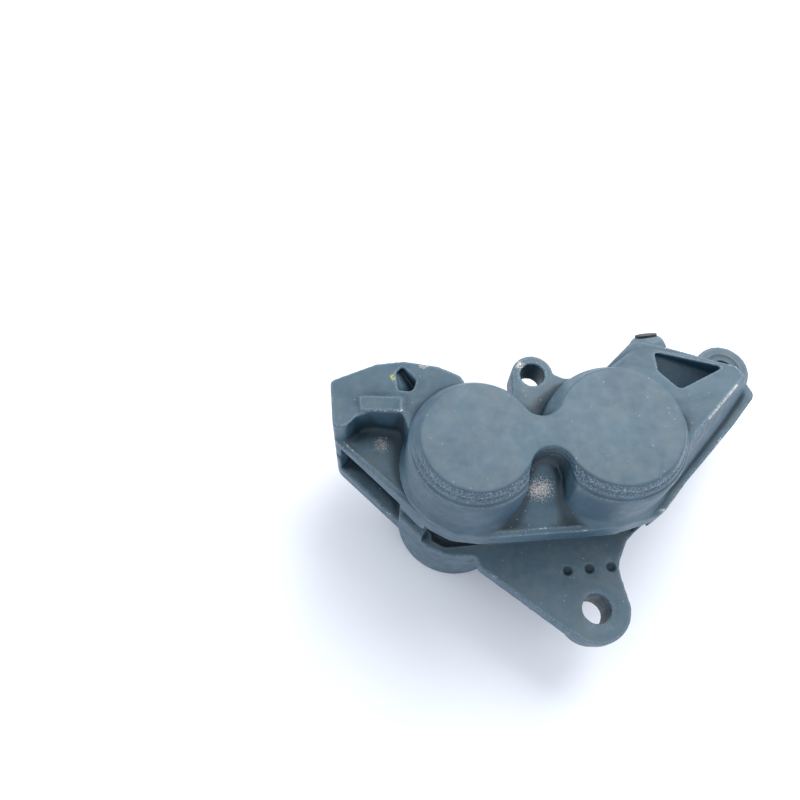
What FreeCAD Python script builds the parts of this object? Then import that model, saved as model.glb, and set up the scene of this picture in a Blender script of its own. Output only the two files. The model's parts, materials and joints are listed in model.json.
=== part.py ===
import FreeCAD, Part
import math
import os

from FreeCAD import Placement, Rotation, Vector

# Opposed four-piston disc brake caliper, in millimetres, lying on its inner caps.
# X runs along the row of bores from the blind end to the port end, Y points away from the
# disc's centre, Z is the pistons' axis. The shapes are worked out from the small bores' axis
# at the disc's middle plane, and then moved so that the lower mounting hole, where its face
# meets the fork, is the origin.

# Bores and pistons
BORE_PITCH = 46.0
SMALL_BORE_D = 30.2
LARGE_BORE_D = 34.0
BORE_END_WALL = 6.0
PISTON_CLEARANCE = 0.05
PISTON_WALL = 2.6
PISTON_BASE = 4.0
PISTON_BACK_GAP = 1.5
PISTON_RECESS = 0.5
PISTON_GROOVE_W = 2.4
PISTON_GROOVE_DEPTH = 0.8
PISTON_LIP = 3.0

# Seals, as square-cut rings in grooves of the bores
PRESSURE_SEAL_W = 3.4
DUST_SEAL_W = 2.2
SEAL_THICKNESS = 2.6
SEAL_CLEARANCE = 0.03
DUST_GROOVE_INSET = 3.4
GROOVE_LAND = 4.0

# Halves, from the disc's middle plane to the outer face of the caps
HALF_HEIGHT = 50.0
CAP_FACE_MARGIN = 3.0
NECK_HALF_W = 5.2
NECK_SHOULDER_W = 2.0
SHOULDER_W = 3.9
SHOULDER_DROP = 7.5
SHOULDER_R = 5.0
BARREL_DRAFT = 0.8
INNER_BARREL_GROW = 5.2
INNER_SHOULDER_R = 2.5
SKIRT_STEPS = [(0.0, 2.6, 1.6), (2.0, 1.6, 0.7), (4.5, 0.7, -0.4)]
BASE_RING_W = 1.6
VALLEY_WALL_R = 6.9
VALLEY_TOP = (22.0, -3.0, 38.0)
VALLEY_TOP_R = 3.0
VALLEY_FOOT_R = 21.4
FLANGE_TOP = 20.0
WING_DEPTH = 27.0

# Space for the disc and the pads
PAD_SLOT_W = 28.0
MOUTH_W = 20.4
SLOT_BLIND_X = -20.0
SLOT_PORT_X = 67.5
DISC_CHANNEL_W = 8.0
WINDOW_TOP = 9.0
WINDOW_BOTTOM = -12.0
DISC_R = 152.0
DISC_REACH = 15.5
DISC_GAP = 2.5

# Mounting ears
UPPER_HOLE = (24.4, 27.3)
UPPER_HOLE_D = 8.4
UPPER_EAR_R = 7.4
UPPER_EAR_BOTTOM = 20.5
UPPER_EAR_TOP = 33.0
LOWER_HOLE = (43.8, -47.5)
LOWER_HOLE_D = 10.5
LOWER_EAR_R = 12.6
LOWER_BOSS_R = 11.4
LOWER_PLATE_T = 7.0
LOWER_BOSS_H = 16.5
DIMPLE_D = 3.8
DIMPLE_DEPTH = 1.2
DIMPLE_SPACING = 8.1

# Bridge bolts, M8 socket heads let into the inner half
BOLT_D = 8.0
BOLT_GRIP = 12.0
BOLT_THREAD_L = 13.0
BOLT_HEAD_D = 13.0
BOLT_HEAD_H = 8.0
BOLT_HEX_AF = 6.0
BOLT_HEX_DEPTH = 4.0
BOLT_SHANK_CLEARANCE = 0.3
BOLT_THREAD_CLEARANCE = 0.05
BOLT_HEAD_CLEARANCE = 0.4
BOLT_PLACES = {
    "blind_end_rear": (-38.0, 29.6),
    "blind_end_front": (-29.5, 17.5),
    "port_end_rear": (98.5, 22.0),
    "port_end_front": (82.8, 14.4),
}

# Fluid ways
PASSAGE_D = 2.5
CROSSOVER = (73.2, 15.0)
CROSSOVER_END = (62.0, 4.6)
O_RING_D = 8.0
O_RING_SECTION = 1.8
O_RING_CLEARANCE = 0.05
PORT = (114.9, 44.0)
PORT_LUG_R = 11.2
PORT_LUG_TOP = -14.0
PORT_LUG_H = 15.0
PORT_THREAD_D = 10.0
PORT_THREAD_L = 8.5
PORT_PILOT_D = 5.0
PORT_PILOT_L = 3.2
PORT_SPOT_D = 15.0
PORT_SPOT_DEPTH = 0.5
BLEED_END = (82.5, 57.2, -4.0)
BLEED_AXIS = (-0.07, 0.84, 0.54)
BLEED_TAPER = [(0.0, 4.9), (1.6, 6.4), (3.8, 7.4), (7.0, 7.9), (17.0, 7.9)]
BLEED_HOLE_D = 7.0
BLEED_HOLE_L = 9.0
PLUG_FLANGE_D = 8.6
PLUG_FLANGE_T = 0.9
PLUG_CLEARANCE = 0.05

# Stainless guide plates at the two ends of the pad slot, each held by a small screw
GUIDE_T = 0.6
GUIDE_L = 24.0
GUIDE_Y = 13.5
GUIDE_GAP = 0.1
GUIDE_RETURN = 3.5
SCREW_D = 4.0
SCREW_L = 7.0
SCREW_HEAD_D = 7.4
SCREW_HEAD_H = 1.8
SCREW_CLEARANCE = 0.05

SMALL = (0.0, 0.0)
LARGE = (BORE_PITCH, 0.0)
SMALL_R = SMALL_BORE_D / 2
LARGE_R = LARGE_BORE_D / 2
BORE_BOTTOM = HALF_HEIGHT - BORE_END_WALL
SLOT_HALF = PAD_SLOT_W / 2
MOUTH_HALF = MOUTH_W / 2
CHANNEL_HALF = DISC_CHANNEL_W / 2
DISC_CENTRE = (BORE_PITCH / 2, DISC_REACH - DISC_R)
CHANNEL_R = DISC_R + DISC_GAP
LOWER_EAR_TOP = -MOUTH_HALF
LOWER_FACE_Z = LOWER_EAR_TOP - LOWER_BOSS_H
DATUM = Vector(LOWER_HOLE[0], LOWER_HOLE[1], LOWER_FACE_Z)
FAR = 300.0

# The wings' tops are sloping planes, each a point on it and its rise along X and along Y
BLIND_TOP = ((-46.0, 12.0, 27.0), 0.35, -0.28)
SCOOP_FLOOR = ((-46.1, 16.2, 13.0), 0.154, -0.023)
POCKET_FLOOR = ((74.0, 37.0, 19.5), 0.35, 0.6)
RECESS_FLOOR = ((-22.5, 30.0, 29.4), -0.75, -0.28)
PORT_TOP = ((70.2, -4.1, 43.6), 0.014, -0.521)

# Outlines seen from above, each corner with the radius that rounds it
FLANGE = [
    (-46, 16.2, 2), (-15.6, -18.5, 8), (-8.5, -23.2, 8), (2, -25.4, 8), (48, -26, 10),
    (64, -22.5, 10), (75, -11.5, 6), (83, -4.5, 3), (97, 8, 3), (107.5, 18.5, 3),
    (104, 28, 2), (89.5, 36.4, 3), (75.2, 42.0, 3), (67.6, 44.6, 3), (54.6, 33.6, 3),
    (50, 26, 4), (-1, 26.5, 4), (-8, 32.8, 3), (-19.4, 38.4, 3), (-29, 39.9, 3), (-46, 37, 2),
]
INNER_FLANGE = [
    (-46, 14.8, 5), (-15.6, -19.6, 8), (-8.5, -23.8, 8), (4, -25.4, 6), (59, -24.5, 6),
    (74, -12, 6), (83, -4, 3), (97, 8.5, 3), (108, 20, 3), (105, 40, 4), (98, 45, 4),
    (82, 47, 4), (68, 45, 4), (54.6, 33.6, 3), (50, 26, 4), (-1, 26.5, 4), (-8, 32.8, 3),
    (-19.4, 38.4, 3), (-29, 39.9, 3), (-46, 37, 2),
]
PAD_SLOT = [
    (SLOT_BLIND_X, FAR, 0), (SLOT_BLIND_X, -5.5, 1.5), (-13.0, -14.8, 1.5), (-13.0, -17.4, 0),
    (-8.2, -20.5, 0), (59.5, -20.5, 0), (59.5, -15.5, 1.5), (SLOT_PORT_X, -5.5, 1.5), (SLOT_PORT_X, FAR, 0),
]
PAD_MOUTH = [
    (-13.0, -12.0, 0), (-17.0, -17.2, 0), (-17.0, -FAR, 0), (62.5, -FAR, 0), (62.5, -18.0, 0),
    (59.5, -12.0, 0),
]
BLIND_WINDOW = [(-46.8, 12.0, 0), (-39.2, 18.9, 2), (-22.9, 0.4, 2), (-25.2, -12.0, 0)]
PORT_WINDOW = [(79.5, -13.5, 0), (72.3, -4.6, 2), (91.3, 12.3, 2), (98.5, 3.5, 0)]
BLIND_RISE = [
    (-46.0, 17.2, 0), (-42.0, 15.0, 2.5), (-37.4, 19.0, 4), (-27.0, 20.0, 4),
    (-21.8, 16.0, 4), (-19.8, 4.0, 4), (-8.0, -4.0, 1), (2.0, 14.0, 1), (-1.2, 26.5, 2),
    (-8.0, 32.6, 3), (-19.4, 38.2, 3), (-29.0, 39.7, 3), (-46.0, 36.8, 2),
]
BLIND_RECESS = [
    (-20.0, 35.8, 0.8), (-16.0, 28.6, 1.5), (-17.6, 24.2, 1.5), (-22.4, 26.2, 1.5),
    (-22.8, 33.6, 1.5),
]
BLIND_PAD = [(-36.2, 27.0, 0.5), (-36.2, 20.6, 0.5), (-22.0, 16.2, 0.5), (-21.4, 22.6, 0.5)]
PORT_BASE = [
    (52, -18), (73, -13.2), (83, -4.5), (97, 8), (107.2, 18.7), (103.6, 27.8),
    (89.2, 36.0), (75.0, 41.6), (67.8, 44.0), (54.8, 33.4), (50, 26),
]
PORT_RIDGE = [
    (52, -8), (66, -8.2), (78, 2.4), (89.5, 12.5), (100.5, 21.8), (99.4, 27.2),
    (88.5, 33.6), (74.2, 39.5), (68.4, 41.8), (55.8, 32.3), (50, 26),
]
PORT_POCKET = [(73.8, 37.9, 1.0), (71.4, 28.2, 1.5), (75.3, 18.1, 1.5), (94.9, 27.3, 1.0)]
EAR_PLATE = [
    (0, -18, 0), (3.5, -29, 2), (32.4, -55.0, 0), (56.2, -46, 0), (54.6, -33, 10),
    (63, -18, 0),
]
UPPER_WEB = [
    (14, 4, 0), (17.1, 27.3, 0), (31.7, 27.3, 0), (35.4, 25.2, 5), (47, 25.2, 0), (40, 4, 0),
]


def cylinder(place, low, high, radius):
    return Part.makeCylinder(radius, high - low, Vector(place[0], place[1], low))


def box(low, high):
    size = [high[i] - low[i] for i in range(3)]
    return Part.makeBox(size[0], size[1], size[2], Vector(*low))


def rod(start, end, radius):
    way = Vector(*end) - Vector(*start)
    return Part.makeCylinder(radius, way.Length, Vector(*start), way)


def rounded_wire(corners, z):
    """A closed wire through corners (x, y, radius), each rounded by an arc of that radius."""
    stops = []
    for index, (x, y, radius) in enumerate(corners):
        here = Vector(x, y, z)
        before = Vector(corners[index - 1][0], corners[index - 1][1], z)
        after_corner = corners[(index + 1) % len(corners)]
        after = Vector(after_corner[0], after_corner[1], z)
        if radius == 0:
            stops.append((here, here, here))
            continue
        back = (before - here).normalize()
        ahead = (after - here).normalize()
        half = back.getAngle(ahead) / 2
        run = radius / math.tan(half)
        middle = (back + ahead).normalize()
        arc_point = here + middle * (radius / math.sin(half) - radius)
        stops.append((here + back * run, arc_point, here + ahead * run))
    edges = []
    for index, (start, arc_point, end) in enumerate(stops):
        if not start.isEqual(end, 1e-9):
            edges.append(Part.Arc(start, arc_point, end).toShape())
        following = stops[(index + 1) % len(stops)][0]
        if not end.isEqual(following, 1e-9):
            edges.append(Part.makeLine(end, following))
    return Part.Wire(edges)


def plate(corners, low, high):
    face = Part.Face(rounded_wire(corners, low))
    return face.extrude(Vector(0, 0, high - low))


def height(plane, x, y):
    point, rise_x, rise_y = plane
    return point[2] + rise_x * (x - point[0]) + rise_y * (y - point[1])


def above(plane, lift=0.0):
    """Everything over a sloping plane, as a block to cut with."""
    corners = [(-FAR, -FAR), (FAR, -FAR), (FAR, FAR), (-FAR, FAR)]
    points = [Vector(x, y, height(plane, x, y) + lift) for x, y in corners]
    face = Part.Face(Part.makePolygon(points + points[:1]))
    return face.extrude(Vector(0, 0, 3 * FAR))


def figure_eight(grow, neck_half_w, z):
    """The outline of the two caps and their neck: two big arcs joined by two hollow ones."""
    small = SMALL_R + CAP_FACE_MARGIN + grow
    large = LARGE_R + CAP_FACE_MARGIN + grow
    rise, fall = 1.0, 40.0
    for _ in range(60):
        hollow = (rise + fall) / 2
        reach_small = math.sqrt((small + hollow) ** 2 - (neck_half_w + hollow) ** 2)
        reach_large = math.sqrt((large + hollow) ** 2 - (neck_half_w + hollow) ** 2)
        if reach_small + reach_large < BORE_PITCH:
            rise = hollow
        else:
            fall = hollow
    centre = Vector(reach_small, neck_half_w + hollow, z)
    first = Vector(SMALL[0], SMALL[1], z)
    second = Vector(LARGE[0], LARGE[1], z)
    on_small = first + (centre - first).normalize() * small
    on_large = second + (centre - second).normalize() * large
    low = Vector(centre.x, neck_half_w, z)

    def flip(point):
        return Vector(point.x, -point.y, point.z)

    edges = [
        Part.Arc(on_small, first - Vector(small, 0, 0), flip(on_small)),
        Part.Arc(flip(on_small), flip(low), flip(on_large)),
        Part.Arc(flip(on_large), second + Vector(large, 0, 0), on_large),
        Part.Arc(on_large, low, on_small),
    ]
    return Part.Wire([edge.toShape() for edge in edges])


def outer_tower():
    """Both outer barrels and their neck, with a sloping shoulder round the turned cap face."""
    shoulder_neck = NECK_HALF_W + NECK_SHOULDER_W
    outlines = [
        figure_eight(SHOULDER_W + BARREL_DRAFT, shoulder_neck + BARREL_DRAFT, FLANGE_TOP - 1),
        figure_eight(SHOULDER_W, shoulder_neck, HALF_HEIGHT - SHOULDER_DROP),
        figure_eight(0, NECK_HALF_W, HALF_HEIGHT),
    ]
    body = Part.makeLoft(outlines, True, True)
    level = HALF_HEIGHT - SHOULDER_DROP
    ring = [
        e for e in body.Edges
        if abs(e.BoundBox.ZMin - level) < 0.01 and abs(e.BoundBox.ZMax - level) < 0.01
    ]
    return body.makeFillet(SHOULDER_R, ring)


def inner_tower():
    """Both inner barrels and their neck, straight-sided with a small rounded shoulder."""
    neck = NECK_HALF_W + INNER_BARREL_GROW
    outlines = [
        figure_eight(INNER_BARREL_GROW + BARREL_DRAFT, neck + BARREL_DRAFT, FLANGE_TOP - 1),
        figure_eight(INNER_BARREL_GROW, neck, HALF_HEIGHT),
    ]
    body = Part.makeLoft(outlines, True, True)
    shoulder = [e for e in body.Edges if e.BoundBox.ZMin > HALF_HEIGHT - 0.01]
    return body.makeFillet(INNER_SHOULDER_R, shoulder)


def barrels(tower, grow, flange):
    """The tower, a skirt that sweeps onto the flange, and the bores' walls down to the slot."""
    parts = []
    bounds = plate(flange, 0, HALF_HEIGHT)
    for place, radius in ((SMALL, SMALL_R), (LARGE, LARGE_R)):
        wall_r = radius + CAP_FACE_MARGIN + grow
        for index, (rise, low_flare, high_flare) in enumerate(SKIRT_STEPS):
            last = index + 1 == len(SKIRT_STEPS)
            high = rise + 4.0 if last else SKIRT_STEPS[index + 1][0]
            ring = Part.makeCone(
                wall_r + low_flare, wall_r + high_flare, high - rise,
                Vector(place[0], place[1], FLANGE_TOP + rise),
            )
            parts.append(ring.common(bounds))
        parts.append(cylinder(place, SLOT_HALF - 1, FLANGE_TOP + 0.5, wall_r))
    drop = VALLEY_TOP[2] - FLANGE_TOP
    foot = Vector(VALLEY_TOP[0], VALLEY_TOP[1], FLANGE_TOP)
    ramp = Part.makeCone(VALLEY_FOOT_R, VALLEY_TOP_R, drop, foot)
    parts.append(ramp.common(box((0, -40, FLANGE_TOP), (BORE_PITCH, 4, HALF_HEIGHT))))
    return tower.fuse(parts)


def valley():
    """The hollow between the outer barrels, straight down from the neck's front edge."""
    place = (VALLEY_TOP[0], -NECK_HALF_W - VALLEY_WALL_R)
    round_end = cylinder(place, FLANGE_TOP, HALF_HEIGHT + 1, VALLEY_WALL_R)
    mouth = [
        (place[0] - VALLEY_WALL_R, place[1], 0), (place[0] - VALLEY_WALL_R - 1, place[1] - 20, 0),
        (place[0] + VALLEY_WALL_R + 3, place[1] - 20, 0), (place[0] + VALLEY_WALL_R, place[1], 0),
    ]
    return round_end.fuse(plate(mouth, FLANGE_TOP, HALF_HEIGHT + 1))


def turned_down(shape):
    """The same shape on the other side of the disc."""
    return shape.mirror(Vector(0, 0, 0), Vector(0, 0, 1))


def bores():
    """Both bores of the outer half, with their seal grooves, as tools to cut with."""
    tools = []
    for place, radius in ((SMALL, SMALL_R), (LARGE, LARGE_R)):
        tools.append(cylinder(place, 0, BORE_BOTTOM, radius))
        for low, width in ((dust_low(), DUST_SEAL_W), (pressure_low(), PRESSURE_SEAL_W)):
            ring_r = radius + SEAL_THICKNESS
            low_gap = low - SEAL_CLEARANCE
            tools.append(cylinder(place, low_gap, low_gap + width + 2 * SEAL_CLEARANCE, ring_r))
    return tools


def dust_low():
    return SLOT_HALF + DUST_GROOVE_INSET


def pressure_low():
    return dust_low() + DUST_SEAL_W + GROOVE_LAND


def slot_tools():
    """The pad slot and its mouth, the disc's channel, and the windows beside the channel."""
    return [
        plate(PAD_SLOT, -SLOT_HALF, SLOT_HALF),
        plate(PAD_MOUTH, -MOUTH_HALF, MOUTH_HALF),
        cylinder(DISC_CENTRE, -CHANNEL_HALF, CHANNEL_HALF, CHANNEL_R),
        plate(BLIND_WINDOW, WINDOW_BOTTOM, WINDOW_TOP),
        plate(PORT_WINDOW, WINDOW_BOTTOM, WINDOW_TOP),
    ]


def guide_recesses():
    """Tapped holes for the two guide plates' screws."""
    tools = []
    for wall_x, way in ((SLOT_BLIND_X, -1), (SLOT_PORT_X, 1)):
        start = (wall_x - way, screw_y(), screw_z())
        end = (wall_x + way * (SCREW_L + 1), screw_y(), screw_z())
        tools.append(rod(start, end, SCREW_D / 2 + SCREW_CLEARANCE))
    return tools


def screw_y():
    return GUIDE_Y + GUIDE_L / 2


def screw_z():
    return -SLOT_HALF / 2


def crossover_way(side):
    start = (CROSSOVER[0], CROSSOVER[1], 0)
    end = (CROSSOVER_END[0], CROSSOVER_END[1], side * (BORE_BOTTOM - 0.5))
    return rod(start, end, PASSAGE_D / 2)


def build_outer_half():
    rise = plate(BLIND_RISE, 0, 60).cut(above(BLIND_TOP))
    pad = plate(BLIND_PAD, 10, 60).cut(above(BLIND_TOP, 1.0))
    foot = [Vector(x, y, 10) for x, y in PORT_BASE]
    crest = [Vector(x, y, height(PORT_TOP, x, y)) for x, y in PORT_RIDGE]
    port = Part.makeLoft(
        [Part.makePolygon(foot + foot[:1]), Part.makePolygon(crest + crest[:1])], True, True
    )
    ear = cylinder(UPPER_HOLE, UPPER_EAR_BOTTOM, UPPER_EAR_TOP, UPPER_EAR_R)
    web = plate(UPPER_WEB, FLANGE_TOP - 1, UPPER_EAR_TOP)
    web = web.cut(cylinder(UPPER_HOLE, 0, UPPER_EAR_BOTTOM, UPPER_EAR_R + 2))
    body = plate(FLANGE, 0, FLANGE_TOP).cut(above(SCOOP_FLOOR))
    ring_r = SMALL_R + CAP_FACE_MARGIN + SHOULDER_W + BASE_RING_W
    ring = cylinder(SMALL, SLOT_HALF, FLANGE_TOP, ring_r).common(plate(FLANGE, 0, FLANGE_TOP))
    towers = barrels(outer_tower().cut(valley()), SHOULDER_W, FLANGE)
    body = body.fuse([rise, pad, port, ring, towers, ear, web])
    recess = plate(BLIND_RECESS, 22, 70).common(above(RECESS_FLOOR))
    pocket = plate(PORT_POCKET, 5, 80).common(above(POCKET_FLOOR))
    tools = slot_tools() + bores() + [recess, pocket, crossover_way(1)] + guide_recesses()
    tools.append(cylinder(UPPER_HOLE, 0, HALF_HEIGHT, UPPER_HOLE_D / 2))
    for place in BOLT_PLACES.values():
        radius = BOLT_D / 2 + BOLT_THREAD_CLEARANCE
        tools.append(cylinder(place, -1, BOLT_THREAD_L + 1, radius))
    body = body.cut(tools)
    return body.removeSplitter()


def build_inner_half():
    body = plate(INNER_FLANGE, -FLANGE_TOP, 0)
    wings = plate(INNER_FLANGE, -WING_DEPTH, 0)
    thin = box((-FAR, -FAR, -WING_DEPTH - 1), (SLOT_PORT_X - 4, FAR, -FLANGE_TOP))
    towers = barrels(inner_tower(), INNER_BARREL_GROW, INNER_FLANGE)
    body = body.fuse([wings.cut(thin), turned_down(towers)])
    ear = plate(EAR_PLATE, LOWER_EAR_TOP - LOWER_PLATE_T, LOWER_EAR_TOP)
    ear_round = cylinder(LOWER_HOLE, LOWER_EAR_TOP - LOWER_PLATE_T, LOWER_EAR_TOP, LOWER_EAR_R)
    boss = Part.makeCone(
        LOWER_BOSS_R, LOWER_EAR_R, LOWER_BOSS_H - LOWER_PLATE_T + 1,
        Vector(LOWER_HOLE[0], LOWER_HOLE[1], LOWER_FACE_Z),
    )
    lug = cylinder(PORT, PORT_LUG_TOP - PORT_LUG_H, PORT_LUG_TOP, PORT_LUG_R)
    arm = plate(
        [(96, 8, 0), (117, 26.5, 4), (124.6, 37.6, 0), (112.6, 54.6, 0), (96, 46, 0)],
        PORT_LUG_TOP - PORT_LUG_H, PORT_LUG_TOP - 1.5,
    )
    end = Vector(*BLEED_END)
    axis = Vector(*BLEED_AXIS).normalize()
    side = [end - axis * back for back, _ in BLEED_TAPER]
    bleed = []
    for index in range(1, len(BLEED_TAPER)):
        wide, narrow = BLEED_TAPER[index], BLEED_TAPER[index - 1]
        length = wide[0] - narrow[0]
        if wide[1] == narrow[1]:
            bleed.append(Part.makeCylinder(wide[1], length, side[index], axis))
        else:
            bleed.append(Part.makeCone(wide[1], narrow[1], length, side[index], axis))
    body = body.fuse([ear, ear_round, boss, lug, arm] + bleed)
    tools = [turned_down(tool) for tool in bores()] + slot_tools() + [crossover_way(-1)]
    tools += guide_recesses()
    tools.append(cylinder(LOWER_HOLE, -HALF_HEIGHT, 0, LOWER_HOLE_D / 2))
    for step in (-1, 0, 1):
        centre = Vector(LOWER_HOLE[0] + step * DIMPLE_SPACING, -33.0, LOWER_EAR_TOP)
        ball_r = (DIMPLE_D ** 2 / 4 + DIMPLE_DEPTH ** 2) / (2 * DIMPLE_DEPTH)
        tools.append(Part.makeSphere(ball_r, centre + Vector(0, 0, ball_r - DIMPLE_DEPTH)))
    for place in BOLT_PLACES.values():
        tools.append(cylinder(place, -HALF_HEIGHT, 1, BOLT_D / 2 + BOLT_SHANK_CLEARANCE))
        head_r = BOLT_HEAD_D / 2 + BOLT_HEAD_CLEARANCE
        tools.append(cylinder(place, -HALF_HEIGHT, -BOLT_GRIP, head_r))
    groove_r = O_RING_D / 2 + O_RING_CLEARANCE
    tools.append(cylinder(CROSSOVER, -O_RING_SECTION - O_RING_CLEARANCE, 1, groove_r))
    spot = PORT_LUG_TOP - PORT_SPOT_DEPTH
    bottom = spot - PORT_THREAD_L
    tools.append(cylinder(PORT, bottom, 0, PORT_THREAD_D / 2))
    tools.append(cylinder(PORT, bottom - PORT_PILOT_L, 0, PORT_PILOT_D / 2))
    tools.append(cylinder(PORT, spot, 0, PORT_SPOT_D / 2))
    feed_z = bottom - PORT_PILOT_L / 2
    share = -feed_z / (BORE_BOTTOM - 0.5)
    meet = [CROSSOVER[i] + (CROSSOVER_END[i] - CROSSOVER[i]) * share for i in (0, 1)]
    tools.append(rod((PORT[0], PORT[1], feed_z), (meet[0], meet[1], feed_z), PASSAGE_D / 2))
    tools.append(rod(tuple(end - axis * BLEED_HOLE_L), tuple(end + axis), BLEED_HOLE_D / 2))
    branch = [PORT[i] + (meet[i] - PORT[i]) * 0.45 for i in (0, 1)]
    tools.append(
        rod(tuple(end - axis * BLEED_HOLE_L), (branch[0], branch[1], feed_z), PASSAGE_D / 2)
    )
    body = body.cut(tools)
    return body.removeSplitter()


def build_piston(place, radius):
    """A cup, open towards the disc, with a groove behind its rim."""
    outside = radius - PISTON_CLEARANCE
    low = SLOT_HALF + PISTON_RECESS
    high = BORE_BOTTOM - PISTON_BACK_GAP
    cup = cylinder(place, low, high, outside)
    top_edge = [e for e in cup.Edges if e.BoundBox.ZMin > high - 0.01 and e.Length > radius]
    cup = cup.makeFillet(1.0, top_edge)
    hollow = cylinder(place, low - 1, high - PISTON_BASE, outside - PISTON_WALL)
    groove = cylinder(place, low + PISTON_LIP, low + PISTON_LIP + PISTON_GROOVE_W, radius + 1)
    groove = groove.cut(cylinder(place, low, high, outside - PISTON_GROOVE_DEPTH))
    cup = cup.cut([hollow, groove])
    rim = [
        e for e in cup.Edges
        if e.BoundBox.ZMax < low + 0.01 and e.Length > 2 * math.pi * (outside - PISTON_WALL - 0.1)
    ]
    return cup.makeChamfer(0.5, rim)


def build_seal(place, radius, low, width):
    """A square-cut ring in its groove, close round the piston."""
    inside = radius - PISTON_CLEARANCE + SEAL_CLEARANCE
    ring = cylinder(place, low, low + width, radius + SEAL_THICKNESS - SEAL_CLEARANCE)
    return ring.cut(cylinder(place, low - 1, low + width + 1, inside))


def build_bolt(place):
    """A socket head cap screw, entered from the inner side."""
    head_low = -BOLT_GRIP - BOLT_HEAD_H
    head = cylinder(place, head_low, -BOLT_GRIP, BOLT_HEAD_D / 2)
    rims = [e for e in head.Edges if e.BoundBox.ZMax < head_low + 0.01]
    head = head.makeChamfer(0.6, rims)
    shank = cylinder(place, -BOLT_GRIP, BOLT_THREAD_L, BOLT_D / 2)
    tips = [e for e in shank.Edges if e.BoundBox.ZMin > BOLT_THREAD_L - 0.01]
    shank = shank.makeChamfer(0.8, tips)
    corner = BOLT_HEX_AF / math.sqrt(3)
    points = [
        Vector(place[0] + corner * math.cos(k * math.pi / 3),
               place[1] + corner * math.sin(k * math.pi / 3), head_low)
        for k in range(7)
    ]
    socket = Part.Face(Part.makePolygon(points)).extrude(Vector(0, 0, BOLT_HEX_DEPTH))
    return head.fuse(shank).cut(socket).removeSplitter()


def build_o_ring():
    section_r = O_RING_SECTION / 2
    centre = Vector(CROSSOVER[0], CROSSOVER[1], -O_RING_CLEARANCE - section_r)
    return Part.makeTorus(O_RING_D / 2 - section_r, section_r, centre, Vector(0, 0, 1))


def build_guide(wall_x, way):
    """A folded plate: its back on the slot's end wall, its two returns along the pad faces."""
    half = SLOT_HALF - GUIDE_GAP
    inside = wall_x - way * GUIDE_T
    mouth = wall_x - way * GUIDE_RETURN
    low_y = GUIDE_Y - GUIDE_L / 2 + 1
    high_y = screw_y() + SCREW_HEAD_D / 2 + 1
    parts = [box((min(wall_x, inside), low_y, -half), (max(wall_x, inside), high_y, half))]
    for low in (-half, half - GUIDE_T):
        parts.append(box(
            (min(wall_x, mouth), low_y, low), (max(wall_x, mouth), low_y + GUIDE_L * 0.7, low + GUIDE_T)
        ))
    start = (wall_x + way, screw_y(), screw_z())
    end = (wall_x - way * 2, screw_y(), screw_z())
    hole = rod(start, end, SCREW_D / 2 + SCREW_CLEARANCE)
    return parts[0].fuse(parts[1:]).cut(hole).removeSplitter()


def build_screw(wall_x, way):
    seat = wall_x - way * GUIDE_T
    shank = rod(
        (seat, screw_y(), screw_z()), (wall_x + way * SCREW_L, screw_y(), screw_z()), SCREW_D / 2
    )
    head = rod(
        (seat, screw_y(), screw_z()), (seat - way * SCREW_HEAD_H, screw_y(), screw_z()),
        SCREW_HEAD_D / 2,
    )
    far_x = seat - way * SCREW_HEAD_H
    rims = [e for e in head.Edges if abs(e.BoundBox.Center.x - far_x) < 0.01 and e.Closed]
    head = head.makeChamfer(0.6, rims)
    low_x, high_x = sorted((far_x, far_x + way * 0.9))
    slot = box(
        (low_x - 0.01, screw_y() - 5, screw_z() - 0.5), (high_x + 0.01, screw_y() + 5, screw_z() + 0.5)
    )
    return head.fuse(shank).cut(slot).removeSplitter()


def build_plug():
    """The push-in blanking plug that closes the bleed port."""
    end = Vector(*BLEED_END)
    axis = Vector(*BLEED_AXIS).normalize()
    stem = rod(
        tuple(end - axis * (BLEED_HOLE_L - 2)), tuple(end), BLEED_HOLE_D / 2 - PLUG_CLEARANCE
    )
    flange = rod(tuple(end), tuple(end + axis * PLUG_FLANGE_T), PLUG_FLANGE_D / 2)
    return stem.fuse(flange).removeSplitter()


def export(name, shape):
    if shape.ShapeType == "Compound" and len(shape.Solids) == 1:
        shape = shape.Solids[0]
    shape = shape.copy()
    shape.translate(DATUM * -1)
    shape.exportStep("parts/" + name + ".step")
    box_ = shape.BoundBox
    print(
        "%-32s solids %d valid %s volume %.0f  x %.1f..%.1f y %.1f..%.1f z %.1f..%.1f"
        % (name, len(shape.Solids), shape.isValid(), shape.Volume,
           box_.XMin, box_.XMax, box_.YMin, box_.YMax, box_.ZMin, box_.ZMax)
    )


def main():
    os.makedirs("parts", exist_ok=True)
    export("outer_half", build_outer_half())
    export("inner_half", build_inner_half())
    for side in ("outer", "inner"):
        for size, place, radius in (("small", SMALL, SMALL_R), ("large", LARGE, LARGE_R)):
            pieces = {
                "piston": build_piston(place, radius),
                "dust_seal": build_seal(place, radius, dust_low(), DUST_SEAL_W),
                "pressure_seal": build_seal(place, radius, pressure_low(), PRESSURE_SEAL_W),
            }
            for kind, shape in pieces.items():
                if side == "inner":
                    shape = turned_down(shape)
                export("%s_%s_%s" % (side, size, kind), shape)
    for end, place in BOLT_PLACES.items():
        export("bridge_bolt_" + end, build_bolt(place))
    export("crossover_o_ring", build_o_ring())
    for end, wall_x, way in (("blind_end", SLOT_BLIND_X, -1), ("port_end", SLOT_PORT_X, 1)):
        export("pad_guide_" + end, build_guide(wall_x, way))
        export("guide_screw_" + end, build_screw(wall_x, way))
    export("bleed_port_plug", build_plug())


main()
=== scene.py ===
import json

import bmesh
import bpy
import numpy as np
from mathutils import Matrix, Vector


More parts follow.
